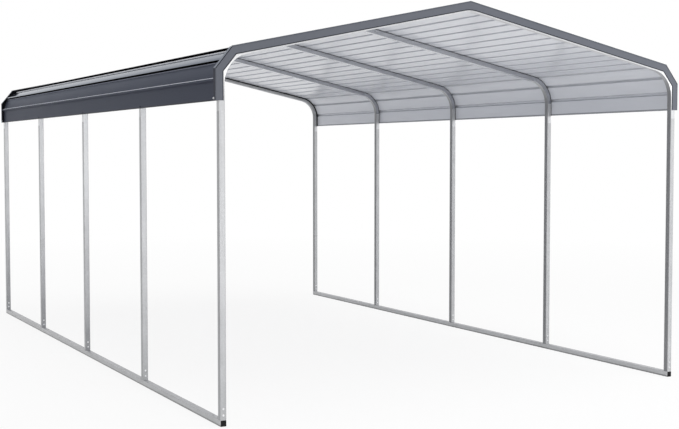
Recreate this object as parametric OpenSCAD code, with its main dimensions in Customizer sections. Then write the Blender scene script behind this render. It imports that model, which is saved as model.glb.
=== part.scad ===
// Open carport: ribbed sheet-steel roof with turned-down sides on bent square-tube bows.
// Millimetres, +Z up. The origin is on the ground at the middle of the footprint,
// and the front gable faces -Y.

/* [Footprint] */
// Distance between the two rows of posts, tube centre to tube centre
post_span = 3628; // [3000:1:4200]
// Distance from one bow to the next, tube centre to tube centre
bay_length = 1500; // [900:10:1800]
// Number of bays from the front bow to the rear bow
bay_count = 4; // [2:1:6]

/* [Frame tube] */
// Outside width of the square tube
tube_side = 40; // [32:1:60]
// Wall of the square tube
tube_wall = 1.2; // [1:0.1:2]
// Outside radius of the tube's four long edges
tube_edge_r = 3; // [2.5:0.1:5]

/* [Posts and bows] */
// Height of a post above its base rail
post_h = 1910; // [1500:1:2600]
// Straight leg of a bow, from the top of its post to the start of the bend
bow_leg = 164; // [120:1:300]
// Centre-line radius of the bend at the eaves
bend_r = 215; // [140:1:300]
// Slope of the roof in degrees
roof_pitch = 12; // [8:0.5:20]
// Length of the narrowed end of a bow, which slips into its post
spigot_length = 80; // [40:1:150]
// Height of the stub on the base rail, which a post slips over
stub_h = 100; // [40:1:150]
// Reach of the ridge sleeve into each half of a bow
sleeve_reach = 150; // [60:1:250]

/* [Base rails] */
// Diameter of the ground-anchor holes
anchor_hole_d = 13; // [8:0.5:18]
// Distance of an anchor hole from the centre of the end post
anchor_inset = 150; // [80:1:400]
// Depth of the plastic plug in the end of a rail
plug_depth = 16; // [10:1:30]
// Wall of the plastic plug
plug_wall = 2.5; // [1.5:0.1:4]
// Depth of the dish in the face of the plug
plug_dish = 1.2; // [0.5:0.1:2]
// Width of the flat rim round the dish
plug_rim = 4; // [2:0.5:8]

/* [Roof sheets] */
// Thickness of the roof sheet
sheet_t = 0.5; // [0.4:0.1:1]
// Distance from rib to rib, measured along the sheet
rib_pitch = 127; // [100:1:180]
// Height of a rib above the flat of the sheet
rib_h = 19; // [10:0.5:25]
// Width of a rib at its foot
rib_foot = 28; // [24:1:50]
// Width of the flat top of a rib
rib_top = 10; // [5:1:20]
// Straight part of the side sheet below the bend
skirt_drop = 101; // [60:1:115]
// Share of the ribs of one side below the lap of roof sheet over eave sheet
eave_lap_share = 0.5; // [0.4:0.05:0.6]
// Share of the ribs of one side below the lap of ridge sheet over roof sheet
ridge_lap_share = 0.875; // [0.8:0.025:0.95]

/* [Gable trim] */
// Width of the trim's face over the bow
trim_face = 53.5; // [35:0.5:60]
// Depth of the trim's flange over the ends of the sheets
trim_depth = 35; // [20:1:60]
// Thickness of the trim
trim_t = 1; // [0.6:0.1:1.5]
// How far the sloping corner piece stands off the round of the bend
corner_ease = 3; // [0:0.5:8]
// Radius of the trim's inner edge where the two slopes meet at the ridge
ridge_round = 250; // [50:5:400]

/* [Hidden] */
// Clearance where one piece rests on or slips into another
seat_gap = 0.3;
// Clearance between two nested sheets
lap_gap = 0.2;
// Room between the tops of the ribs and the trim
trim_gap = 0.7;
// How far a cutting shape runs past what it cuts
overrun = 1;
// How much fuller the tube comes out of the bend than its straights, on each face
bend_swell = 0.05;
// How far a straight of the tube reaches into the bend
bend_overlap = 2;
// Straight steps along the bend of a sheet
bend_steps = 20;
// Straight steps along the round at the ridge of the trim
ridge_steps = 4;
// Straight steps round each long edge of a tube
edge_steps = 3;

zinc = [0.80, 0.81, 0.82];
black_plastic = [0.07, 0.07, 0.08];
sheet_grey = [0.29, 0.31, 0.34];
trim_grey = [0.36, 0.37, 0.41];

// Frame
bow_count = bay_count + 1;
frame_length = bay_count * bay_length + tube_side;
post_x = post_span / 2;
joint_z = tube_side + post_h;
bore = tube_side - 2 * tube_wall;
bore_edge_r = tube_edge_r - tube_wall;
sleeve_side = bore - 2 * seat_gap;

// Bend at the eaves: its centre and the angle that the tube turns through
bend_angle = 90 - roof_pitch;
bend_centre = [post_x - bend_r, joint_z + bow_leg];
up_slope = [-cos(roof_pitch), sin(roof_pitch)];

// Point at a distance r from the bend's centre, turned by an angle from the vertical leg
function round_bend(r, angle) = bend_centre + r * [cos(angle), sin(angle)];
// Height above the ground where the slope at a distance r from the bend's centre meets the ridge
function ridge_z(r) =
    round_bend(r, bend_angle)[1] + round_bend(r, bend_angle)[0] * tan(roof_pitch);
rafter_length = round_bend(bend_r, bend_angle)[0] / cos(roof_pitch);

// Sheet line: u runs up the sheet from the bottom edge to the ridge, h stands out from it
sheet_r = bend_r + tube_side / 2 + seat_gap;
u_bend = skirt_drop;
u_slope = u_bend + sheet_r * bend_angle * PI / 180;
u_ridge = u_slope + round_bend(sheet_r, bend_angle)[0] / cos(roof_pitch);
last_rib = floor((u_ridge - rib_foot) / rib_pitch);
side_lap_rib = round((u_bend + u_slope) / 2 / rib_pitch);
eave_lap_rib = round(last_rib * eave_lap_share);
ridge_lap_rib = round(last_rib * ridge_lap_share);
rib_wall_angle = atan2(rib_h, (rib_foot - rib_top) / 2);
rib_lean = tan(rib_wall_angle / 2);
lap_lift = sheet_t + lap_gap;

function bend_at(u) = max(0, min(bend_angle, (u - u_bend) / sheet_r * 180 / PI));
function foot_point(u) =
    round_bend(sheet_r, bend_at(u))
    + min(0, u - u_bend) * [0, 1]
    + max(0, u - u_slope) * up_slope;
function on_sheet(p) = foot_point(p[0]) + p[1] * [cos(bend_at(p[0])), sin(bend_at(p[0]))];

// Ends of the straight steps along the bend that lie between two places on the sheet
function bend_stops(from, to, lift) = [
    for (i = [0 : bend_steps])
        let (u = u_bend + (u_slope - u_bend) * i / bend_steps)
        if (u > from && u < to) [u, lift]
];
// Corners of a rib on a surface that lies lift above the sheet's underside
function rib_near(k, lift) = [
    [k * rib_pitch - rib_foot / 2 - lift * rib_lean, lift],
    [k * rib_pitch - rib_top / 2 - lift * rib_lean, rib_h + lift]
];
function rib_far(k, lift) = [
    [k * rib_pitch + rib_top / 2 + lift * rib_lean, rib_h + lift],
    [k * rib_pitch + rib_foot / 2 + lift * rib_lean, lift]
];
// The flat before rib k, then that rib
function flat_and_rib(k, lift) = concat(
    bend_stops((k - 1) * rib_pitch + rib_foot, k * rib_pitch - rib_foot, lift),
    rib_near(k, lift),
    rib_far(k, lift)
);
function flats_and_ribs(first, last, lift) = [
    for (k = [first : 1 : last])
        each flat_and_rib(k, lift)
];
// Lower edge of a sheet that laps over rib k of the sheet below it
function lapping_rib(k, lift) = concat(
    rib_near(k, lap_lift + lift),
    [rib_far(k, lap_lift + lift)[0], rib_far(k, lift)[1]]
);
// Upper edge of a sheet, which ends on top of rib k, under the next sheet
function lapped_rib(k, lift) = concat(
    bend_stops((k - 1) * rib_pitch + rib_foot, k * rib_pitch - rib_foot, lift),
    rib_near(k, lift),
    [[k * rib_pitch + rib_top / 2, rib_h + lift]]
);

function side_line(lift) = concat(
    [[0, lift]],
    flats_and_ribs(1, side_lap_rib - 1, lift),
    lapped_rib(side_lap_rib, lift)
);
function sheet_line(lower, upper, lift) = concat(
    lapping_rib(lower, lift),
    flats_and_ribs(lower + 1, upper - 1, lift),
    lapped_rib(upper, lift)
);
function ridge_line(lift) = concat(
    lapping_rib(ridge_lap_rib, lift),
    flats_and_ribs(ridge_lap_rib + 1, last_rib, lift)
);

function placed(line) = [for (p = line) on_sheet(p)];
function backwards(points) = [for (i = [len(points) - 1 : -1 : 0]) points[i]];
function across(points) = [for (p = backwards(points)) [-p[0], p[1]]];
// Section of a sheet between its underside and its upper side
function sheet_section(under, over) = concat(placed(under), backwards(placed(over)));
// Upright line over the ridge: one surface of the ridge sheet from eave side to eave side
function over_ridge(lift) = concat(
    placed(ridge_line(lift)),
    [[0, ridge_z(sheet_r + lift)]],
    across(placed(ridge_line(lift)))
);

// Trim line: corners of the gable outline from the bottom of the skirt to the ridge
trim_r = sheet_r + rib_h + sheet_t + lap_lift + trim_gap + trim_t;
corner_reach = (trim_r + corner_ease - trim_r * cos(bend_angle / 2)) / sin(bend_angle / 2);
trim_corners = [
    round_bend(trim_r, 0) - [0, skirt_drop],
    round_bend(trim_r, 0) + [0, corner_reach],
    round_bend(trim_r, bend_angle) - corner_reach * up_slope,
    [0, ridge_z(trim_r)]
];
// Direction of each straight of the trim; beyond the ridge it goes down the other slope
trim_ways = [
    [0, 1],
    [cos(90 + bend_angle / 2), sin(90 + bend_angle / 2)],
    up_slope,
    [up_slope[0], -up_slope[1]]
];
function inward(way) = [-way[1], way[0]];
// Corner i of the trim line, set in by a width along the mitre
function mitred(i, width) =
    let (a = inward(trim_ways[max(0, i - 1)]), b = inward(trim_ways[i]))
    trim_corners[i] + width * (a + b) / (1 + a * b);
function trim_strip(i, width) = [
    mitred(i, 0), mitred(i + 1, 0), mitred(i + 1, width), mitred(i, width)
];
// Rake piece: its inner edge is rounded where it meets the other slope
function rake_strip(width) = concat(
    [mitred(2, width), mitred(2, 0), mitred(3, 0)],
    [for (i = [0 : ridge_steps])
        let (turn = roof_pitch * i / ridge_steps)
        mitred(3, width) + ridge_round * [sin(turn), cos(turn) - 1 / cos(roof_pitch)]]
);

function bow_y(i) = (i - 1 - bay_count / 2) * bay_length;
bow_numbers = [1 : bow_count];
trim_names = ["side", "corner", "rake"];
sides = ["left", "right"];
gables = ["front", "rear"];

// Pieces are drawn on the right and at the front, and mirrored to the other side or end
module on_side(side) {
    mirror([side == "left" ? 1 : 0, 0, 0])
        children();
}

module at_gable(gable) {
    mirror([0, gable == "rear" ? 1 : 0, 0])
        children();
}

// Section in the upright plane across the carport, drawn out along its length
module along_carport(length) {
    rotate([90, 0, 0])
        linear_extrude(length, center = true)
            children();
}

// Square with its corners rounded in short straights
module rounded_square(side, r) {
    polygon([
        for (quarter = [0 : 90 : 270], step = [0 : edge_steps])
            let (turn = quarter + 90 * step / edge_steps)
            (side / 2 - r) * sqrt(2) * [cos(quarter + 45), sin(quarter + 45)]
            + r * [cos(turn), sin(turn)]
    ]);
}

module tube_section(swell = 0) {
    difference() {
        rounded_square(tube_side + 2 * swell, tube_edge_r + swell);
        rounded_square(bore - 2 * swell, bore_edge_r);
    }
}

// Section of a tube that slips into the frame tube
module sleeve_section() {
    difference() {
        rounded_square(sleeve_side, bore_edge_r);
        rounded_square(sleeve_side - 2 * tube_wall, bore_edge_r / 2);
    }
}

module base_rail(side) {
    color(zinc)
        on_side(side)
            translate([post_x, 0, tube_side / 2])
                difference() {
                    along_carport(frame_length)
                        tube_section();
                    for (y = [-1, 1])
                        translate([0, y * (bow_y(bow_count) - anchor_inset), 0])
                            cylinder(h = tube_side + 2 * overrun, d = anchor_hole_d, center = true, $fn = 48);
                }
}

// Plug in the end of a base rail: a cup with a shallow dish in its outer face
module rail_plug() {
    difference() {
        linear_extrude(plug_depth)
            rounded_square(sleeve_side, bore_edge_r);
        translate([0, 0, plug_dish + plug_wall])
            linear_extrude(plug_depth)
                square(sleeve_side - 2 * plug_wall, center = true);
        translate([0, 0, plug_dish - plug_depth])
            linear_extrude(plug_depth)
                square(sleeve_side - 2 * plug_rim, center = true);
    }
}

module rail_plugs(gable) {
    color(black_plastic)
        at_gable(gable)
            for (side = sides)
                on_side(side)
                    translate([post_x, -frame_length / 2, tube_side / 2])
                        rotate([-90, 0, 0])
                            rail_plug();
}

module post_stubs() {
    color(zinc)
        for (side = sides, i = bow_numbers)
            on_side(side)
                translate([post_x, bow_y(i), tube_side])
                    linear_extrude(stub_h)
                        sleeve_section();
}

module post(side, i) {
    color(zinc)
        on_side(side)
            translate([post_x, bow_y(i), tube_side])
                linear_extrude(post_h)
                    tube_section();
}

// Lower end of a bow: narrowed to slip into the post, with a shoulder that rests on it
module bow_end() {
    translate([0, 0, -spigot_length])
        linear_extrude(spigot_length + tube_wall)
            sleeve_section();
    linear_extrude(tube_wall)
        difference() {
            rounded_square(tube_side, tube_edge_r);
            square(sleeve_side - 2 * tube_wall, center = true);
        }
}

// Half a bow, leg, bend and rafter of one tube, cut upright at the ridge
module bow(side, i) {
    color(zinc)
        on_side(side)
            translate([bend_centre[0], bow_y(i), bend_centre[1]]) {
                translate([bend_r, 0, -bow_leg]) {
                    bow_end();
                    linear_extrude(bow_leg + bend_overlap)
                        tube_section();
                }
                rotate([90, 0, 0])
                    rotate_extrude(angle = bend_angle)
                        translate([bend_r, 0])
                            tube_section(bend_swell);
                difference() {
                    rotate([0, -bend_angle, 0])
                        translate([bend_r, 0, -bend_overlap])
                            linear_extrude(rafter_length + tube_side)
                                tube_section();
                    translate([-bend_centre[0] - 2 * tube_side, 0, ridge_z(bend_r) - bend_centre[1]])
                        cube(4 * tube_side, center = true);
                }
            }
}

// Outline of the ridge sleeve, a bent bar of the given depth
module ridge_bend(depth, reach) {
    for (side = sides)
        mirror([side == "left" ? 1 : 0, 0])
            polygon([
                for (p = [[0, -1], [0, 1], [1, 1], [1, -1]])
                    [p[0] * reach * cos(roof_pitch),
                     ridge_z(bend_r) - p[0] * reach * sin(roof_pitch) + p[1] * depth / 2 / cos(roof_pitch)]
            ]);
}

module ridge_sleeves() {
    color(zinc)
        for (i = bow_numbers)
            translate([0, bow_y(i), 0])
                difference() {
                    along_carport(sleeve_side)
                        ridge_bend(sleeve_side, sleeve_reach);
                    along_carport(sleeve_side - 2 * tube_wall)
                        ridge_bend(sleeve_side - 2 * tube_wall, sleeve_reach + overrun);
                }
}

module side_sheet(side) {
    color(sheet_grey)
        on_side(side)
            along_carport(frame_length)
                polygon(sheet_section(side_line(0), side_line(sheet_t)));
}

module eave_sheet(side) {
    color(sheet_grey)
        on_side(side)
            along_carport(frame_length)
                polygon(sheet_section(
                    sheet_line(side_lap_rib, eave_lap_rib, 0),
                    sheet_line(side_lap_rib, eave_lap_rib, sheet_t)
                ));
}

module roof_sheet(side) {
    color(sheet_grey)
        on_side(side)
            along_carport(frame_length)
                polygon(sheet_section(
                    sheet_line(eave_lap_rib, ridge_lap_rib, 0),
                    sheet_line(eave_lap_rib, ridge_lap_rib, sheet_t)
                ));
}

module ridge_sheet() {
    color(sheet_grey)
        along_carport(frame_length)
            polygon(concat(over_ridge(0), backwards(over_ridge(sheet_t))));
}

// One straight of the gable trim: a face over the bow and a flange over the sheets
module gable_trim(gable, side, i) {
    color(trim_grey)
        at_gable(gable)
            on_side(side)
                translate([0, -frame_length / 2 - seat_gap, 0])
                    rotate([90, 0, 0]) {
                        linear_extrude(trim_t)
                            polygon(i == 2 ? rake_strip(trim_face) : trim_strip(i, trim_face));
                        translate([0, 0, -trim_depth])
                            linear_extrude(trim_depth + trim_t)
                                polygon(trim_strip(i, trim_t));
                    }
}

for (s = sides) {
    base_rail(s);
    side_sheet(s);
    eave_sheet(s);
    roof_sheet(s);
}
for (s = sides, i = bow_numbers) {
    post(s, i);
    bow(s, i);
}
for (g = gables) {
    rail_plugs(g);
}
for (g = gables, s = sides, i = [0 : len(trim_names) - 1]) {
    gable_trim(g, s, i);
}
post_stubs();
ridge_sleeves();
ridge_sheet();
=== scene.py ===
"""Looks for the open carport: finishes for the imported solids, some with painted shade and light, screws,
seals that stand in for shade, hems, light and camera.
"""

import math

import bmesh
import bpy
from mathutils import Matrix, Vector


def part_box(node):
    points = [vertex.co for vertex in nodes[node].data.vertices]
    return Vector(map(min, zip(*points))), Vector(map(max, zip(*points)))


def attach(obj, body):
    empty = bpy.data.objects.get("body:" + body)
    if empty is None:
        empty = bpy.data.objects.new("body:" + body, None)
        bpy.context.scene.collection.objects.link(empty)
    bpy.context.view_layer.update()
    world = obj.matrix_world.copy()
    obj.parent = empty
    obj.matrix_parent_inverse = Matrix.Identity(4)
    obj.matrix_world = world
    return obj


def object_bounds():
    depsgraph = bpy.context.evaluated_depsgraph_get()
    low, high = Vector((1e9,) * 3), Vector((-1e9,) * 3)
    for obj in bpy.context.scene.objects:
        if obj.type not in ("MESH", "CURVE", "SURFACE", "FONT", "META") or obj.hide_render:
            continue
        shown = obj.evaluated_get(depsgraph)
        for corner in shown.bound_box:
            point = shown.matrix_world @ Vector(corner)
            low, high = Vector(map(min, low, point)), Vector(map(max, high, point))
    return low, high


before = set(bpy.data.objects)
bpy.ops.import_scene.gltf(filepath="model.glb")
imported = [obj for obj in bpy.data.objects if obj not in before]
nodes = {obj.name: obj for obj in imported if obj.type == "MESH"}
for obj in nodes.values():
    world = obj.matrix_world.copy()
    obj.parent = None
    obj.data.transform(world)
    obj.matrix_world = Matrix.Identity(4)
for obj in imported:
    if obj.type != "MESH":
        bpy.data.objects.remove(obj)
cad_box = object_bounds()

# Sizes of the sheets, tubes and trim in metres, as the solids have them
BEND_R = 0.215
BOW_LEG = 0.164
ROOF_PITCH = math.radians(12)
SEAT_GAP = 0.0003
SHEET_T = 0.0005
RIB_PITCH = 0.127
RIB_FOOT = 0.028
RIB_H = 0.019
TRIM_DEPTH = 0.035
TRIM_FACE = 0.0535
RIDGE_ROUND = 0.250

# Places read from the frame
rail_low, rail_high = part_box("base_rail_right")
skirt_low, skirt_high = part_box("side_sheet_right")
side_trim_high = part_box("side_trim_front_right")[1]
corner_trim_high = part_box("corner_trim_front_right")[1]
rake_trim_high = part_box("rake_trim_front_right")[1]
TUBE = rail_high.z - rail_low.z
POST_X = (rail_low.x + rail_high.x) / 2
JOINT_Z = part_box("post_right_1")[1].z
GABLE_Y = skirt_high.y
SKIRT_Z = skirt_low.z
TRIM_X = side_trim_high.x
TRIM_Y = cad_box[1].y
BOW_NUMBERS = range(1, sum(name.startswith("post_right_") for name in nodes) + 1)
GABLE_BOWS = (BOW_NUMBERS[0], BOW_NUMBERS[-1])
bow_y = {i: sum(corner.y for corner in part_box(f"post_right_{i}")) / 2 for i in BOW_NUMBERS}

# Signs of the left and right side, and of the front and rear end
SIDES = (-1, 1)
ENDS = (-1, 1)

# Sheet line of the right side: u runs up it from the bottom edge, h stands out from its underside
SHEET_R = BEND_R + TUBE / 2 + SEAT_GAP
BEND_X = POST_X - BEND_R
BEND_Z = JOINT_Z + BOW_LEG
BEND_ANGLE = math.pi / 2 - ROOF_PITCH
U_BEND = BEND_Z - SKIRT_Z
U_SLOPE = U_BEND + SHEET_R * BEND_ANGLE
U_RIDGE = U_SLOPE + (BEND_X + SHEET_R * math.cos(BEND_ANGLE)) / math.cos(ROOF_PITCH)


def sheet_turn(u):
    """Angle above the horizontal of the sheet's outward direction at u."""
    return max(0, min(BEND_ANGLE, (u - U_BEND) / SHEET_R))


def sheet_out(side, u):
    """Outward direction of the sheet at u."""
    turn = sheet_turn(u)
    return Vector((side * math.cos(turn), 0, math.sin(turn)))


def on_sheet(side, u, y, h):
    """Point over place u of the sheet line, h outside the sheet's underside."""
    turn = sheet_turn(u)
    below = min(0, u - U_BEND)
    above = max(0, u - U_SLOPE)
    x = BEND_X + (SHEET_R + h) * math.cos(turn) - above * math.cos(ROOF_PITCH)
    z = BEND_Z + (SHEET_R + h) * math.sin(turn) + above * math.sin(ROOF_PITCH) + below
    return Vector((side * x, y, z))


def sheet_place(point):
    """Place u on the sheet line that a point of a sheet belongs to."""
    x = abs(point.x) - BEND_X
    z = point.z - BEND_Z
    if z <= 0:
        return U_BEND + z
    turn = math.atan2(z, x)
    if turn <= BEND_ANGLE:
        return U_BEND + SHEET_R * turn
    return U_SLOPE + z * math.sin(ROOF_PITCH) - x * math.cos(ROOF_PITCH)


# Shader nodes


def linear(red, green, blue):
    """Colour for a shader socket from the 0 to 255 values of a screen colour, by the sRGB curve."""
    def channel(value):
        share = value / 255
        return share / 12.92 if share <= 0.04045 else ((share + 0.055) / 1.055) ** 2.4

    return (channel(red), channel(green), channel(blue), 1)


def set_inputs(node, values):
    """Set inputs of a shader node by name, where _ stands for a space."""
    for socket, value in values.items():
        node.inputs[socket.replace("_", " ")].default_value = value


class Tree:
    """Shader nodes of a material or a world."""

    def __init__(self, owner):
        owner.use_nodes = True
        self.tree = owner.node_tree

    def add(self, kind, operation=None, **values):
        """New node of a kind, with values for some of its inputs."""
        node = self.tree.nodes.new(kind)
        if operation:
            node.operation = operation
        set_inputs(node, values)
        return node

    def link(self, source, target):
        self.tree.links.new(source, target)

    def coordinates(self):
        return self.add("ShaderNodeTexCoord").outputs["Object"]

    def spread(self, source, low, high, to_low=0, to_high=1):
        """Source values from low to high, spread between two others."""
        spread = self.add("ShaderNodeMapRange", From_Min=low, From_Max=high, To_Min=to_low, To_Max=to_high)
        self.link(source, spread.inputs["Value"])
        return spread.outputs["Result"]


# Greys of a texture between which a ramp changes colour or roughness
TONE_SPAN = (0.3, 0.7)
CLIMB_SPAN = (0.2, 0.86)
GLOSS_SPAN = (0.25, 0.75)

# Scales of the textures, in features a metre, and their reliefs in metres
CRYSTAL_SCALE = 130
DRAW_SCALE = 60
ZINC_CLOUD_SCALE = 7
COAT_CLOUD_SCALE = 2.2
ROLL_SCALE = 38
PEEL_SCALE = 420
MOULD_SCALE = 60
DRAW_DEPTH = 0.0002
PEEL_DEPTH = 0.00012
MOULD_DEPTH = 0.0002

# Stretch of the draw lines of a tube and of the roll lines of a sheet
UPRIGHT = (1, 1, 0.03)
LENGTHWISE = (1, 0.03, 1)
ACROSS = (0.03, 1, 1)
ROLLED = (1, 0.08, 1)
LONG_ROLLED = (1, 0.05, 1)


class Finish(Tree):
    """A material under construction: its Principled shader and the textures that feed it."""

    def __init__(self, name, **sockets):
        self.material = bpy.data.materials.new(name)
        super().__init__(self.material)
        self.shader = self.tree.nodes["Principled BSDF"]
        set_inputs(self.shader, sockets)
        self.place = self.coordinates()

    def noise(self, scale, detail=3, stretch=(1, 1, 1)):
        """Cloudy greys, drawn out along an axis where they are stretched."""
        mapping = self.add("ShaderNodeMapping", Scale=stretch)
        self.link(self.place, mapping.inputs["Vector"])
        texture = self.add("ShaderNodeTexNoise", Scale=scale, Detail=detail)
        self.link(mapping.outputs["Vector"], texture.inputs["Vector"])
        return texture.outputs["Fac"]

    def crystals(self):
        """A random grey for each crystal of a zinc coat."""
        texture = self.add("ShaderNodeTexVoronoi", Scale=CRYSTAL_SCALE)
        self.link(self.place, texture.inputs["Vector"])
        grey = self.add("ShaderNodeSeparateColor")
        self.link(texture.outputs["Color"], grey.inputs["Color"])
        return grey.outputs["Red"]

    def blended(self, first, second, share):
        """Weighted sum of two greys, with a share of the second."""
        mix = self.add("ShaderNodeMix", Factor=share)
        self.link(first, mix.inputs["A"])
        self.link(second, mix.inputs["B"])
        return mix.outputs["Result"]

    def rise(self, low, high, to_low=0, to_high=1):
        """Height above the ground, spread from one level to another."""
        level = self.add("ShaderNodeSeparateXYZ")
        self.link(self.place, level.inputs["Vector"])
        return self.spread(level.outputs["Z"], low, high, to_low, to_high)

    def rib_height(self, bent):
        """Height above the sheet at the bend or on the slope, from 0 at the foot of a rib to 1 at its top."""
        folded = self.add("ShaderNodeVectorMath", "ABSOLUTE")
        self.link(self.place, folded.inputs[0])
        from_bend = self.add("ShaderNodeMapping", Location=(-BEND_X, 0, -BEND_Z), Scale=(1, 0, 1))
        self.link(folded.outputs["Vector"], from_bend.inputs["Vector"])
        distance = self.add("ShaderNodeVectorMath", "LENGTH" if bent else "DOT_PRODUCT")
        self.link(from_bend.outputs["Vector"], distance.inputs[0])
        if not bent:
            distance.inputs[1].default_value = (math.cos(BEND_ANGLE), 0, math.sin(BEND_ANGLE))
        return self.spread(distance.outputs["Value"], SHEET_R, SHEET_R + RIB_H)

    def colour(self, source, dark, light, span=TONE_SPAN):
        """Base colour between two screen colours, by the greys of a source."""
        ramp = self.add("ShaderNodeValToRGB")
        for element, grey, tone in zip(ramp.color_ramp.elements, span, (dark, light)):
            element.position = grey
            element.color = linear(*tone)
        self.link(source, ramp.inputs["Fac"])
        self.link(ramp.outputs["Color"], self.shader.inputs["Base Color"])
        return ramp.color_ramp

    def roughness(self, source, gloss):
        self.link(self.spread(source, *GLOSS_SPAN, *gloss), self.shader.inputs["Roughness"])

    def bump(self, source, depth, strength):
        bump = self.add("ShaderNodeBump", Distance=depth, Strength=strength)
        self.link(source, bump.inputs["Height"])
        self.link(bump.outputs["Normal"], self.shader.inputs["Normal"])


# Materials: plain zinc, tint of the gloss on a coat
ZINC_METAL = 0.15
ZINC_GLOSS = (0.28, 0.42)
COOL_GLOSS = (0.82, 0.89, 1, 1)

# Heights between which a finish changes, most of them for painted shade and light
CONTACT_SHADE_FOOT = (0, 0.015)
OPEN_POST = (TUBE, SKIRT_Z)
LOWER_POST = (TUBE, JOINT_Z / 2)
SHADED_LEG = (BEND_Z + 0.04, BEND_Z + 0.2)
TURNING_UP = (BEND_Z + 0.03, BEND_Z + 0.15)
GABLE_BEND = (SKIRT_Z, BEND_Z + SHEET_R * math.sin(BEND_ANGLE))

# Shares of the gable bend's height between which its zinc turns light, a painted highlight, and dark again
BRIGHT_RISE = (0.1, 0.35)
BRIGHT_FALL = (0.6, 0.95)


def zinc(name, dark, light, streaks, metal=ZINC_METAL, gloss=ZINC_GLOSS, grain=0.3, climb=None, share=0.6):
    """Galvanised tube: crystals of the zinc coat, draw lines along the tube, cloudy patches.

    With a climb, a share of the tone goes from dark to light between its two heights, which paints shade and
    light by height.
    """
    finish = Finish(name, Metallic=metal)
    crystals = finish.crystals()
    lines = finish.noise(DRAW_SCALE, detail=4, stretch=streaks)
    clouds = finish.noise(ZINC_CLOUD_SCALE)
    tone = finish.blended(finish.blended(crystals, lines, share=0.75), clouds, share=0.4)
    if climb:
        finish.colour(finish.blended(tone, finish.rise(*climb), share), dark, light, CLIMB_SPAN)
    else:
        finish.colour(tone, dark, light)
    finish.roughness(finish.blended(crystals, clouds, share=0.5), gloss)
    finish.bump(lines, DRAW_DEPTH, grain)
    return finish.material


def highlight_bend(name, dark, light):
    """Zinc of a gable bow's outer face, with a painted highlight round the bend."""
    finish = Finish(name, Metallic=ZINC_METAL, Roughness=0.35)
    height = finish.blended(finish.rise(*GABLE_BEND), finish.crystals(), share=0.12)
    ramp = finish.colour(height, dark, light, BRIGHT_RISE)
    for grey, tone in zip(BRIGHT_FALL, (light, dark)):
        ramp.elements.new(grey).color = linear(*tone)
    return finish.material


def painted(name, dark, light, gloss, specular, flakes, streaks):
    """Coil-coated sheet: cloudy tone, faint roll lines along the sheet, orange peel in the coat."""
    finish = Finish(name, Specular_IOR_Level=specular, Metallic=flakes, Specular_Tint=COOL_GLOSS)
    clouds = finish.noise(COAT_CLOUD_SCALE, detail=4)
    lines = finish.noise(ROLL_SCALE, detail=4, stretch=streaks)
    tone = finish.blended(clouds, lines, share=0.45)
    finish.colour(tone, dark, light)
    finish.roughness(tone, gloss)
    finish.bump(finish.noise(PEEL_SCALE, detail=2), PEEL_DEPTH, strength=0.25)
    return finish


def paint(name, dark, light, gloss, specular=0.5, flakes=0):
    """Coil-coated sheet of one gloss all over."""
    return painted(name, dark, light, gloss, specular, flakes, ROLLED).material


def dulled(name, dark, light, gloss, specular, dull, bright):
    """Coil-coated sheet whose flakes are dull on the upright skirt and bright where the bend turns up."""
    finish = painted(name, dark, light, gloss, specular, dull, LONG_ROLLED)
    finish.link(finish.rise(*TURNING_UP, dull, bright), finish.shader.inputs["Metallic"])
    return finish.material


def flank_shade(name, foot, top, span, bent):
    """Rib flank with painted shade, whose tone changes between two shares of its height."""
    finish = Finish(name, Specular_IOR_Level=0, Roughness=0.8)
    finish.colour(finish.rib_height(bent), foot, top, span)
    return finish.material


def grained(name, dark, light, gloss, grain_scale):
    """Moulded plastic or rubber with a fine grain."""
    finish = Finish(name, Specular_IOR_Level=0.25)
    clouds = finish.noise(MOULD_SCALE)
    finish.colour(clouds, dark, light)
    finish.roughness(clouds, gloss)
    finish.bump(finish.noise(grain_scale), MOULD_DEPTH, strength=0.5)
    return finish.material


# Zinc of the frame
# Posts: darker from mid-height towards the ground, painted shade
post_zinc = zinc("post_zinc", (155, 156, 158), (204, 205, 207), UPRIGHT, climb=LOWER_POST, share=0.35)
# Left rear posts and legs: dark towards the ground and light towards the skirt, a painted reflection
rear_reflection_zinc = zinc("rear_reflection_zinc", (138, 139, 142), (228, 229, 231), UPRIGHT, climb=OPEN_POST)
# Right posts: a darker copy of the post zinc, painted shade
right_shaded_zinc = zinc("right_shaded_zinc", (157, 158, 160), (180, 181, 183), UPRIGHT)
# Outer faces of the posts: a darker copy of the zinc, painted shade
outer_shaded_zinc = zinc("outer_shaded_zinc", (148, 149, 152), (182, 183, 186), UPRIGHT)
# Inner faces of posts and bows: dark on the legs and light above the bend, painted shade
inner_shaded_zinc = zinc("inner_shaded_zinc", (131, 132, 135), (190, 191, 194), UPRIGHT, climb=SHADED_LEG)
# Gable bows' outer faces: a painted highlight round the bend
gable_highlight_zinc = highlight_bend("gable_highlight_zinc", (188, 189, 191), (240, 240, 241))
# Rails: nearly black over the lowest 15 mm, a painted contact shadow
rail_zinc = zinc("rail_zinc", (40, 40, 42), (200, 201, 203), LENGTHWISE, climb=CONTACT_SHADE_FOOT)
# Rail tops: a darker copy of the zinc, a painted reflection
rail_top_reflection = zinc("rail_top_reflection", (150, 151, 154), (182, 183, 186), LENGTHWISE)
# Inner faces of the rails: a lighter copy of the zinc, painted light, with the same painted contact shadow at
# the foot
rail_inner_lit = zinc("rail_inner_lit", (40, 40, 42), (206, 207, 209), LENGTHWISE, climb=CONTACT_SHADE_FOOT)
bow_zinc = zinc(
    "bow_zinc", (172, 174, 180), (192, 194, 199), ACROSS, metal=0.7, gloss=(0.2, 0.26), grain=0.05)
screw_zinc = zinc("screw_zinc", (215, 217, 220), (245, 245, 246), UPRIGHT, metal=0.7)

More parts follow.
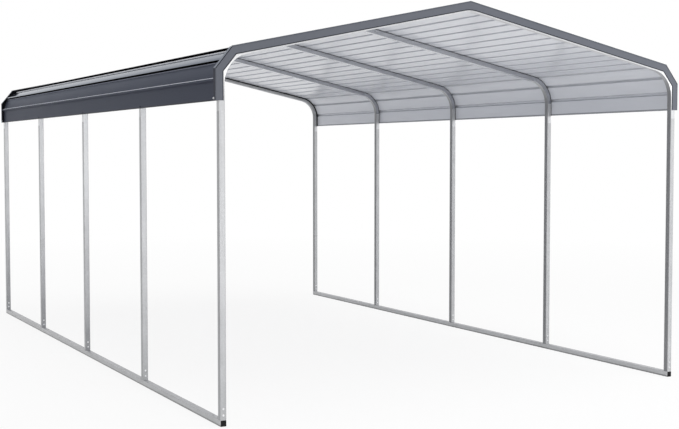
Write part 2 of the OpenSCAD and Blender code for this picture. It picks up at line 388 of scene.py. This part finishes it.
# Coats of the sheets
skirt_coat = dulled(
    "skirt_coat", (61, 64, 76), (67, 70, 82), (0.3, 0.4), specular=0.014, dull=0.15, bright=0.36)
roof_coat = paint("roof_coat", (66, 69, 80), (73, 76, 87), (0.08, 0.14), specular=0.14, flakes=0.45)
under_coat = paint("under_coat", (215, 217, 223), (219, 221, 227), (0.18, 0.26))
# Lower flanks of the ribs in the bend: black above as painted shade, a painted highlight at the foot
rib_shade = flank_shade("rib_shade", (132, 135, 147), (3, 3, 4), (0.34, 0.4), bent=True)
# Last rib in the bend: black above as painted shade, near white at the foot as a painted highlight
crest_shade = flank_shade("crest_shade", (242, 244, 250), (3, 3, 4), (0.29, 0.35), bent=True)
# Top of the last rib in the bend: nearly black, painted shade
crest_top_shade = paint("crest_top_shade", (16, 17, 21), (22, 23, 28), (0.6, 0.7), specular=0.05)
# Hollows of the ribs underneath: darker towards the top, painted shade
hollow_bend_shade = flank_shade("hollow_bend_shade", (213, 216, 223), (204, 206, 211), (0.1, 0.2), bent=True)
hollow_slope_shade = flank_shade("hollow_slope_shade", (215, 218, 225), (198, 200, 206), (0.13, 0.18), bent=False)
# Upper flank of the lowest rib: a light line, painted highlight
ledge_highlight = paint("ledge_highlight", (221, 225, 235), (234, 238, 247), (0.6, 0.7), specular=0.2)
# Hem's fold: darker than the skirt's coat, painted shade
hem_shade_coat = paint("hem_shade_coat", (32, 35, 46), (37, 40, 51), (0.4, 0.5), specular=0.12)
# Hem's return: lighter than the skirt's coat it is folded from, painted light
return_lit_coat = paint("return_lit_coat", (150, 152, 157), (160, 162, 167), (0.4, 0.55), specular=0.3)
painted_screw = paint("painted_screw", (54, 58, 70), (64, 68, 80), (0.3, 0.45))

# Coats of the gable trim
trim_coat = paint("trim_coat", (87, 90, 97), (93, 95, 102), (0.4, 0.5), specular=0.3)
flange_coat = paint("flange_coat", (42, 45, 57), (48, 51, 63), (0.45, 0.55), specular=0.12)
# Back of the trim: nearly black, painted shade
back_shade_coat = paint("back_shade_coat", (24, 25, 29), (32, 33, 38), (0.7, 0.85), specular=0.1)
# Rolled and folded edges of the trim: darker than its face, painted shade
edge_shade_coat = paint("edge_shade_coat", (76, 79, 86), (81, 84, 91), (0.4, 0.5), specular=0.3)
fold_shade_coat = paint("fold_shade_coat", (26, 28, 34), (33, 35, 41), (0.45, 0.6), specular=0.15)

# Plastic and rubber
plug_plastic = grained("plug_plastic", (8, 8, 9), (14, 14, 15), (0.5, 0.65), grain_scale=900)
# Black rubber of the seals, which stand in for shade along the bows
seal_shade_rubber = grained("seal_shade_rubber", (10, 10, 11), (18, 18, 19), (0.75, 0.9), grain_scale=500)

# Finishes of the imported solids, by the way that a face looks
UPWARD = 0.9
OUTWARD = 0.5
INWARD = -0.25
UNDERNEATH = -0.1
FLANK_LEAST = 0.2
FLANK_MOST = 0.7

# First of the rear posts, the rib that carries a painted highlight, reach of a rib's top, middle of the
# carport
REAR_FROM = 3
LEDGE_RIB = 1
CREST_REACH = RIB_FOOT / 4
MIDDLE = Vector((0, 0, JOINT_Z / 2))


def coat(name, finish_of):
    """Give each face of a solid the material that a rule names for it."""
    data = nodes[name].data
    data.materials.clear()
    for face in data.polygons:
        material = finish_of(face)
        if material.name not in data.materials:
            data.materials.append(material)
        face.material_index = data.materials.find(material.name)


def all_over(material):
    """One material for every face."""
    return lambda face: material


def turned_out(face):
    """How far a face looks away from the middle of the carport, from -1 to 1."""
    return math.copysign(face.normal.x, face.normal.x * face.center.x)


def tube_finish(ends, outside, inside, top):
    """Zinc of the faces towards the gables, of the outer and the inner face, and of the top: copies with
    painted light and shade, by the way a face looks.
    """
    def finish_of(face):
        if face.normal.z > UPWARD:
            return top
        if turned_out(face) < INWARD:
            return inside
        return outside if turned_out(face) > OUTWARD else ends

    return finish_of


def upright_zinc(name):
    """Zinc of a post or a leg: the left ones at the rear darken most towards the ground, a painted
    reflection, and the right posts take a darker copy as painted shade.
    """
    kind, side, number = name.split("_")
    if side == "left":
        return rear_reflection_zinc if int(number) >= REAR_FROM else post_zinc
    return right_shaded_zinc if kind == "post" else post_zinc


def bow_finish(name):
    """Zinc of the posts on the leg, which goes on from its post, and brighter zinc above it."""
    at_gable = int(name.split("_")[-1]) in GABLE_BOWS
    leg_zinc = upright_zinc(name)
    rafter_zinc = post_zinc if at_gable else bow_zinc

    def finish_of(face):
        # Inner faces take the zinc with painted shade on the legs
        if turned_out(face) < INWARD:
            return inner_shaded_zinc
        # A gable bow's outer face carries a painted highlight round the bend
        if at_gable and face.normal.y * face.center.y > OUTWARD * abs(face.center.y):
            return gable_highlight_zinc
        return leg_zinc if face.center.z < BEND_Z else rafter_zinc

    return finish_of


def sheet_finish(outside):
    """Dark coat outside and pale coat underneath.

    Painted shade lies on the lower flanks of the ribs and in the hollows under them, and a painted highlight
    on the lowest rib.
    """
    def finish_of(face):
        u = sheet_place(face.center)
        facing = face.normal.dot(sheet_out(-1 if face.center.x < 0 else 1, u))
        rib = round(u / RIB_PITCH)
        rib_u = rib * RIB_PITCH
        flank = FLANK_LEAST < abs(facing) < FLANK_MOST
        in_bend = U_BEND + RIB_FOOT < rib_u < U_SLOPE
        crest = in_bend and rib_u + RIB_PITCH > U_SLOPE
        # Hollows of the ribs underneath take painted shade
        if flank and facing < 0 and u < rib_u:
            return hollow_bend_shade if rib_u < U_SLOPE else hollow_slope_shade
        if facing < UNDERNEATH:
            return under_coat
        # Lower flanks of the ribs in the bend take painted shade with a painted highlight at the foot
        if flank and u < rib_u and in_bend:
            return crest_shade if crest else rib_shade
        # The top of the last rib in the bend takes painted shade
        if crest and facing > FLANK_MOST and abs(u - rib_u) < CREST_REACH:
            return crest_top_shade
        # The upper flank of the lowest rib takes a painted highlight
        if flank and u > rib_u and rib == LEDGE_RIB:
            return ledge_highlight
        return outside

    return finish_of


def trim_finish(flange):
    """Satin face, a back darkened as painted shade, and the flange over the sheets."""
    def finish_of(face):
        upright = abs(face.normal.y) > OUTWARD
        outwards = face.normal.y * face.center.y if upright else face.normal.dot(face.center - MIDDLE)
        if outwards < 0:
            return back_shade_coat
        return trim_coat if upright else flange

    return finish_of


for name in nodes:
    if name == "post_stubs":
        coat(name, all_over(post_zinc))
    elif name == "ridge_sleeves":
        coat(name, all_over(bow_zinc))
    elif name.startswith("rail_plugs_"):
        coat(name, all_over(plug_plastic))
    elif name.startswith("post_"):
        coat(name, tube_finish(upright_zinc(name), outer_shaded_zinc, inner_shaded_zinc, post_zinc))
    elif name.startswith("base_rail_"):
        coat(name, tube_finish(rail_zinc, rail_zinc, rail_inner_lit, rail_top_reflection))
    elif name.startswith("bow_"):
        coat(name, bow_finish(name))
    elif name.startswith("side_sheet_"):
        coat(name, sheet_finish(skirt_coat))
    elif "_sheet" in name:
        coat(name, sheet_finish(roof_coat))
    elif name.startswith("corner_trim_"):
        coat(name, trim_finish(roof_coat))
    else:
        coat(name, trim_finish(flange_coat))

# Pieces beside the solids


def add_object(name, data):
    """New object in the scene."""
    made = bpy.data.objects.new(name, data)
    bpy.context.scene.collection.objects.link(made)
    return made


def add_mesh(name, mesh, material):
    """Finished mesh as an object of one material."""
    data = bpy.data.meshes.new(name)
    mesh.to_mesh(data)
    mesh.free()
    data.materials.append(material)
    return add_object(name, data)


def add_piece(name, mesh, material):
    """Finished mesh as a piece that belongs to the carport."""
    bmesh.ops.recalc_face_normals(mesh, faces=mesh.faces)
    piece = add_mesh(name, mesh, material)
    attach(piece, "root")


def add_sweep(mesh, rings):
    """Closed solid from rings of points, each with as many points as the first."""
    made = [[mesh.verts.new(point) for point in ring] for ring in rings]
    for lower, upper in zip(made, made[1:]):
        for i in range(len(lower)):
            mesh.faces.new((lower[i - 1], lower[i], upper[i], upper[i - 1]))
    mesh.faces.new(made[0])
    mesh.faces.new(made[-1])


def add_lathe(mesh, place, profile, sides):
    """Closed solid turned from (radius, height) pairs, with as many sides as given."""
    turns = [2 * math.pi * i / sides for i in range(sides)]
    add_sweep(mesh, [
        [place @ Vector((radius * math.cos(turn), radius * math.sin(turn), height)) for turn in turns]
        for radius, height in profile
    ])


# Hex screw with a pressed flange, and the washer under it
SCREW_WASHER_R = 0.0072
SCREW_FLANGE_R = 0.0060
SCREW_HEX_R = 0.0046
WASHER_T = 0.0012
FLANGE_T = 0.0011
HEX_T = 0.0044
HEX_EASE = 0.0006
ROUND_SIDES = 18
HEX_SIDES = 6


def add_screw(mesh, at, out):
    """Screw whose washer lies on a surface at a point, with its head towards a direction."""
    place = Matrix.Translation(at) @ out.to_track_quat("Z", "Y").to_matrix().to_4x4()
    flange_base = WASHER_T
    hex_base = WASHER_T + FLANGE_T
    hex_top = hex_base + HEX_T
    add_lathe(mesh, place, [
        (SCREW_WASHER_R, -SHEET_T),
        (SCREW_WASHER_R, WASHER_T / 2),
        (SCREW_FLANGE_R, flange_base),
    ], ROUND_SIDES)
    add_lathe(mesh, place, [
        (SCREW_FLANGE_R, flange_base),
        (SCREW_FLANGE_R, flange_base + FLANGE_T / 2),
        (SCREW_HEX_R, hex_base),
    ], ROUND_SIDES)
    add_lathe(mesh, place, [
        (SCREW_HEX_R, hex_base),
        (SCREW_HEX_R, hex_top - HEX_EASE),
        (SCREW_HEX_R - HEX_EASE, hex_top),
        (SCREW_HEX_R / 2, hex_top),
        (SCREW_HEX_R / 2 - HEX_EASE, hex_top - HEX_EASE),
    ], HEX_SIDES)


# Screws through the stub at the foot of a post, and from behind through the spigot at its top
FOOT_SCREW_HEIGHTS = (0.030, 0.070)
TOP_SCREW_DROPS = (0.025, 0.060)

frame_screws = bmesh.new()
for side in SIDES:
    for i in BOW_NUMBERS:
        for end in ENDS:
            heights = [TUBE + rise for rise in FOOT_SCREW_HEIGHTS]
            if end > 0:
                heights += [JOINT_Z - drop for drop in TOP_SCREW_DROPS]
            for z in heights:
                at = Vector((side * POST_X, bow_y[i] + end * TUBE / 2, z))
                add_screw(frame_screws, at, Vector((0, end, 0)))
add_piece("frame_screws", frame_screws, screw_zinc)

# Screws through the ridge sleeve, on each face of a bow that no trim covers
RIDGE_SCREW_REACHES = (0.045, 0.105)

ridge_screws = bmesh.new()
for side in SIDES:
    for i in BOW_NUMBERS:
        for end in ENDS:
            face_y = bow_y[i] + end * TUBE / 2
            if abs(face_y) > GABLE_Y - SEAT_GAP:
                continue
            for reach in RIDGE_SCREW_REACHES:
                at = on_sheet(side, U_RIDGE - reach, face_y, -SEAT_GAP - TUBE / 2)
                add_screw(ridge_screws, at, Vector((0, end, 0)))
add_piece("ridge_screws", ridge_screws, bow_zinc)

# Screws through the sheets, over each inner bow and beside the trim at the gables: on the flats between
# the ribs, and near the skirt's bottom edge
SKIRT_SCREW_U = 0.014
FIRST_SCREW_FLAT = 4
SCREW_FLAT_STEP = 2
GABLE_SCREW_INSET = 0.050

screw_flats = range(FIRST_SCREW_FLAT, math.floor(U_RIDGE / RIB_PITCH), SCREW_FLAT_STEP)
sheet_screws = bmesh.new()
for side in SIDES:
    for i in BOW_NUMBERS:
        y = math.copysign(GABLE_Y - GABLE_SCREW_INSET, bow_y[i]) if i in GABLE_BOWS else bow_y[i]
        for u in [SKIRT_SCREW_U] + [(flat + 0.5) * RIB_PITCH for flat in screw_flats]:
            add_screw(sheet_screws, on_sheet(side, u, y, SHEET_T), sheet_out(side, u))
add_piece("sheet_screws", sheet_screws, painted_screw)

# Bright screws at the bottom of the trim's flange
FLANGE_SCREW_INSET = 0.009

trim_screws = bmesh.new()
for side in SIDES:
    for end in ENDS:
        y = end * (GABLE_Y + SEAT_GAP - TRIM_DEPTH + FLANGE_SCREW_INSET)
        at = Vector((side * TRIM_X, y, SKIRT_Z + SKIRT_SCREW_U))
        add_screw(trim_screws, at, Vector((side, 0, 0)))
add_piece("trim_screws", trim_screws, screw_zinc)

# Edges of the gable trim: rolled along the rake, a little proud of it, and folded flat elsewhere
RIDGE_STEPS = 4
FOLD_WIDTH = 0.0055
FOLD_T = 0.0012
FOLD_EASE_T = 0.6 * FOLD_T
ROLL_PROUD = 0.0035
ROLL_BACK = 0.003
SIDE_STRETCH = slice(0, 2)
CORNER_STRETCH = slice(1, 3)
RAKE_STRETCH = slice(2, None)
WHOLE_STRETCH = slice(0, None)

# Outline of the right half of a gable's trim, from the skirt to the ridge, and its way after each corner
UP_SLOPE = Vector((-math.cos(ROOF_PITCH), math.sin(ROOF_PITCH)))
trim_corners = [
    Vector((TRIM_X, SKIRT_Z)),
    Vector((TRIM_X, side_trim_high.z)),
    Vector(((rake_trim_high.z - corner_trim_high.z) / math.tan(ROOF_PITCH), corner_trim_high.z)),
    Vector((0, rake_trim_high.z)),
]
trim_ways = [
    Vector((0, 1)),
    (trim_corners[2] - trim_corners[1]).normalized(),
    UP_SLOPE,
    Vector((UP_SLOPE.x, -UP_SLOPE.y)),
]
RIDGE_CORNER = len(trim_corners) - 1


def mitred(i, width):
    """Corner i of the trim's outline, set in by a width along the mitre."""
    before, after = (Vector((-way.y, way.x)) for way in (trim_ways[max(0, i - 1)], trim_ways[i]))
    return trim_corners[i] + width * (before + after) / (1 + before.dot(after))


def trim_line(width, rounded):
    """Line set in from the trim's outline, from the skirt to the ridge, where it may be rounded."""
    line = [mitred(i, width) for i in range(RIDGE_CORNER)]
    ridge = mitred(RIDGE_CORNER, width)
    if not rounded:
        return line + [ridge]
    for step in range(RIDGE_STEPS, -1, -1):
        turn = ROOF_PITCH * step / RIDGE_STEPS
        rise = math.cos(turn) - 1 / math.cos(ROOF_PITCH)
        line.append(ridge + RIDGE_ROUND * Vector((math.sin(turn), rise)))
    return line


def add_fold(mesh, side, end, stretch, outer, inner, back=0, rounded=False):
    """Flat roll between two lines of the trim, on the face of one gable and some way behind it."""
    widths = (outer, outer, (2 * outer + inner) / 3, (outer + 2 * inner) / 3, inner, inner)
    heights = (-back, FOLD_EASE_T, FOLD_T, FOLD_T, FOLD_EASE_T, -back)
    lines = [trim_line(width, rounded)[stretch] for width in widths]
    add_sweep(mesh, [
        [Vector((side * p.x, end * (TRIM_Y + height), p.y)) for p, height in zip(points, heights)]
        for points in zip(*lines)
    ])


trim_edges = bmesh.new()
trim_folds = bmesh.new()
for side in SIDES:
    for end in ENDS:
        add_fold(trim_edges, side, end, SIDE_STRETCH, 0, FOLD_WIDTH)
        add_fold(trim_edges, side, end, RAKE_STRETCH, -ROLL_PROUD, FOLD_WIDTH, back=ROLL_BACK)
        add_fold(trim_folds, side, end, CORNER_STRETCH, 0, FOLD_WIDTH)
        add_fold(trim_folds, side, end, WHOLE_STRETCH, TRIM_FACE - FOLD_WIDTH, TRIM_FACE, rounded=True)
# Edges and folds take coats darker than the trim's face, painted shade
add_piece("trim_edges", trim_edges, edge_shade_coat)
add_piece("trim_folds", trim_folds, fold_shade_coat)

# Black seals under the sheets that stand in for the shade along the bows' top edges: a bead on both edges of
# each inner bow, and a strip inside each gable bow
BEND_STEPS = 24
BEAD_H = 0.0045
BEAD_OUT = 0.0012
GABLE_SEAL_H = 0.012
GABLE_SEAL_T = 0.008

bend_stops = [U_BEND + (U_SLOPE - U_BEND) * step / BEND_STEPS for step in range(BEND_STEPS + 1)]
sheet_stops = [0] + bend_stops + [U_RIDGE - SHEET_T]


def add_strip(mesh, side, y_from, y_to, drop):
    """Strip along the sheet's underside, between two places along the carport."""
    add_sweep(mesh, [
        [
            on_sheet(side, u, y_from, -SEAT_GAP / 2),
            on_sheet(side, u, y_to, -SEAT_GAP / 2),
            on_sheet(side, u, y_to, -drop),
            on_sheet(side, u, y_from, -drop),
        ]
        for u in sheet_stops
    ])


bow_shade_seals = bmesh.new()
for side in SIDES:
    for i in BOW_NUMBERS:
        for end in ENDS:
            face_y = bow_y[i] + end * TUBE / 2
            if i not in GABLE_BOWS:
                add_strip(bow_shade_seals, side, face_y - end * BEAD_OUT, face_y + end * BEAD_OUT, BEAD_H)
            elif end * bow_y[i] < 0:
                add_strip(bow_shade_seals, side, face_y, face_y + end * GABLE_SEAL_T, GABLE_SEAL_H)
add_piece("bow_shade_seals", bow_shade_seals, seal_shade_rubber)

# Hem along the bottom edge of each skirt: a fold outside, and its return between the bows inside
HEM_OUT_H = 0.008
HEM_IN_H = 0.012
HEM_T = 0.0012
HEM_EASE_T = 0.7 * HEM_T
HEM_GAP = 0.002
HEM_REACH = GABLE_Y - TRIM_DEPTH

# Sections of the fold and its return, as places u and heights h
FOLD_SECTION = (
    (HEM_OUT_H, SHEET_T),
    (HEM_OUT_H, SHEET_T + HEM_EASE_T),
    (HEM_T, SHEET_T + HEM_T),
    (-HEM_T / 2, SHEET_T + HEM_T / 2),
    (-HEM_T / 2, 0),
    (0, 0),
    (0, SHEET_T),
)
RETURN_SECTION = (
    (-HEM_T / 2, 0),
    (-HEM_T / 2, -HEM_T / 2),
    (HEM_T, -HEM_T),
    (HEM_IN_H, -HEM_T),
    (HEM_IN_H, 0),
)


def add_hem(mesh, side, section, y_from, y_to):
    """Length of a section along the skirt, between two places along the carport."""
    add_sweep(mesh, [[on_sheet(side, u, y, h) for u, h in section] for y in (y_from, y_to)])


skirt_hems = bmesh.new()
hem_returns = bmesh.new()
for side in SIDES:
    add_hem(skirt_hems, side, FOLD_SECTION, -HEM_REACH, HEM_REACH)
    for i in BOW_NUMBERS[:-1]:
        bay_from = bow_y[i] + TUBE / 2 + HEM_GAP
        bay_to = bow_y[i + 1] - TUBE / 2 - HEM_GAP
        add_hem(hem_returns, side, RETURN_SECTION, bay_from, bay_to)
# The fold takes a coat darker than the skirt's as painted shade, and the return a lighter one as painted
# light
add_piece("skirt_hems", skirt_hems, hem_shade_coat)
add_piece("hem_returns", hem_returns, return_lit_coat)

# Floor and backdrop
FLOOR_REACH = 150
FLOOR_GREY = 0.85
WASH_NEAR = 0.86
WASH_FAR = 1.0
WASH_FROM = 5.0
WASH_TO = 14.0
BACKDROP_LIGHT = 1.0
SKY_LIGHT = 0.52
WHITE = (1, 1, 1, 1)


class Stage(Tree):
    """Shader of the floor or the world, which shows one surface and lights the carport with another."""

    def __init__(self, owner):
        super().__init__(owner)
        self.tree.nodes.clear()

    def joined(self, operation, first, second):
        """Result of a math operation on two values."""
        result = self.add("ShaderNodeMath", operation)
        self.link(first, result.inputs[0])
        self.link(second, result.inputs[1])
        return result.outputs["Value"]

    def seen_rays(self):
        """1 for the rays that show the backdrop: from the camera, a mirror or a pane."""
        rays = self.add("ShaderNodeLightPath").outputs
        seen = rays["Is Camera Ray"]
        for ray in ("Is Glossy Ray", "Is Transmission Ray"):
            seen = self.joined("MAXIMUM", seen, rays[ray])
        return seen

    def finish(self, share, lit, shown, output):
        """Surface of two shaders, with a share of the one that is shown."""
        mix = self.add("ShaderNodeMixShader")
        self.link(share, mix.inputs["Fac"])
        self.link(lit.outputs[0], mix.inputs[1])
        self.link(shown.outputs[0], mix.inputs[2])
        self.link(mix.outputs["Shader"], self.add(output).inputs["Surface"])


def floor_material():
    """Pale floor that takes shadows, and turns to the backdrop's white away from the carport."""
    material = bpy.data.materials.new("floor_white")
    stage = Stage(material)
    distance = stage.add("ShaderNodeVectorMath", "LENGTH")
    stage.link(stage.coordinates(), distance.inputs[0])
    wash = stage.spread(distance.outputs["Value"], WASH_FROM, WASH_TO, WASH_NEAR, WASH_FAR)
    share = stage.joined("MULTIPLY", stage.seen_rays(), wash)
    diffuse = stage.add("ShaderNodeBsdfDiffuse", Color=(FLOOR_GREY, FLOOR_GREY, FLOOR_GREY, 1))
    glow = stage.add("ShaderNodeEmission", Strength=BACKDROP_LIGHT)
    stage.finish(share, diffuse, glow, "ShaderNodeOutputMaterial")
    return material


def add_floor():
    mesh = bmesh.new()
    bmesh.ops.create_grid(mesh, x_segments=2, y_segments=2, size=FLOOR_REACH)
    add_mesh("floor", mesh, floor_material())


def set_world():
    world = bpy.data.worlds.new("studio")
    bpy.context.scene.world = world
    stage = Stage(world)
    sky = stage.add("ShaderNodeBackground", Color=WHITE, Strength=SKY_LIGHT)
    backdrop = stage.add("ShaderNodeBackground", Color=WHITE, Strength=BACKDROP_LIGHT)
    stage.finish(stage.seen_rays(), sky, backdrop, "ShaderNodeOutputWorld")


# Lamps and camera
CAMERA_PLACE = (-4.609, -9.921, 1.690)
CAMERA_YAW = math.radians(27.585)
CAMERA_PITCH = math.radians(-2.896)
CAMERA_LENS = 64.13
SENSOR_WIDTH = 36


def add_lamp(name, kind, strength, source):
    """Unseen lamp that shines from the direction of its source."""
    data = bpy.data.lights.new(name, kind)
    data.energy = strength
    lamp = add_object(name, data)
    lamp.rotation_euler = source.to_track_quat("Z", "Y").to_euler()
    lamp.visible_camera = False
    lamp.visible_glossy = False
    return lamp


def add_sun(name, azimuth, elevation, softness, strength):
    """Even light from far off: azimuth turns from the front towards the right, all in degrees."""
    turn, rise = math.radians(azimuth), math.radians(elevation)
    source = Vector((math.sin(turn) * math.cos(rise), -math.cos(turn) * math.cos(rise), math.sin(rise)))
    lamp = add_lamp(name, "SUN", strength, source)
    lamp.data.angle = math.radians(softness)


def add_panel(name, place, aim, width, power):
    """Soft light panel that stands at a place and faces another."""
    lamp = add_lamp(name, "AREA", power, Vector(place) - Vector(aim))
    lamp.data.size = width
    lamp.location = place


def add_camera():
    data = bpy.data.cameras.new("camera")
    data.sensor_fit = "HORIZONTAL"
    data.sensor_width = SENSOR_WIDTH
    data.lens = CAMERA_LENS
    camera = add_object("camera", data)
    camera.location = CAMERA_PLACE
    camera.rotation_euler = (math.pi / 2 + CAMERA_PITCH, 0, -CAMERA_YAW)
    bpy.context.scene.camera = camera


add_floor()
set_world()
add_sun("key", azimuth=12, elevation=4, softness=22, strength=1.46)
add_sun("top", azimuth=20, elevation=75, softness=60, strength=1.2)
add_panel("panel", place=(4.5, -7.5, 2.6), aim=(1.0, -3.0, 1.8), width=2.5, power=180)
add_camera()
bpy.context.scene.view_settings.view_transform = "Standard"
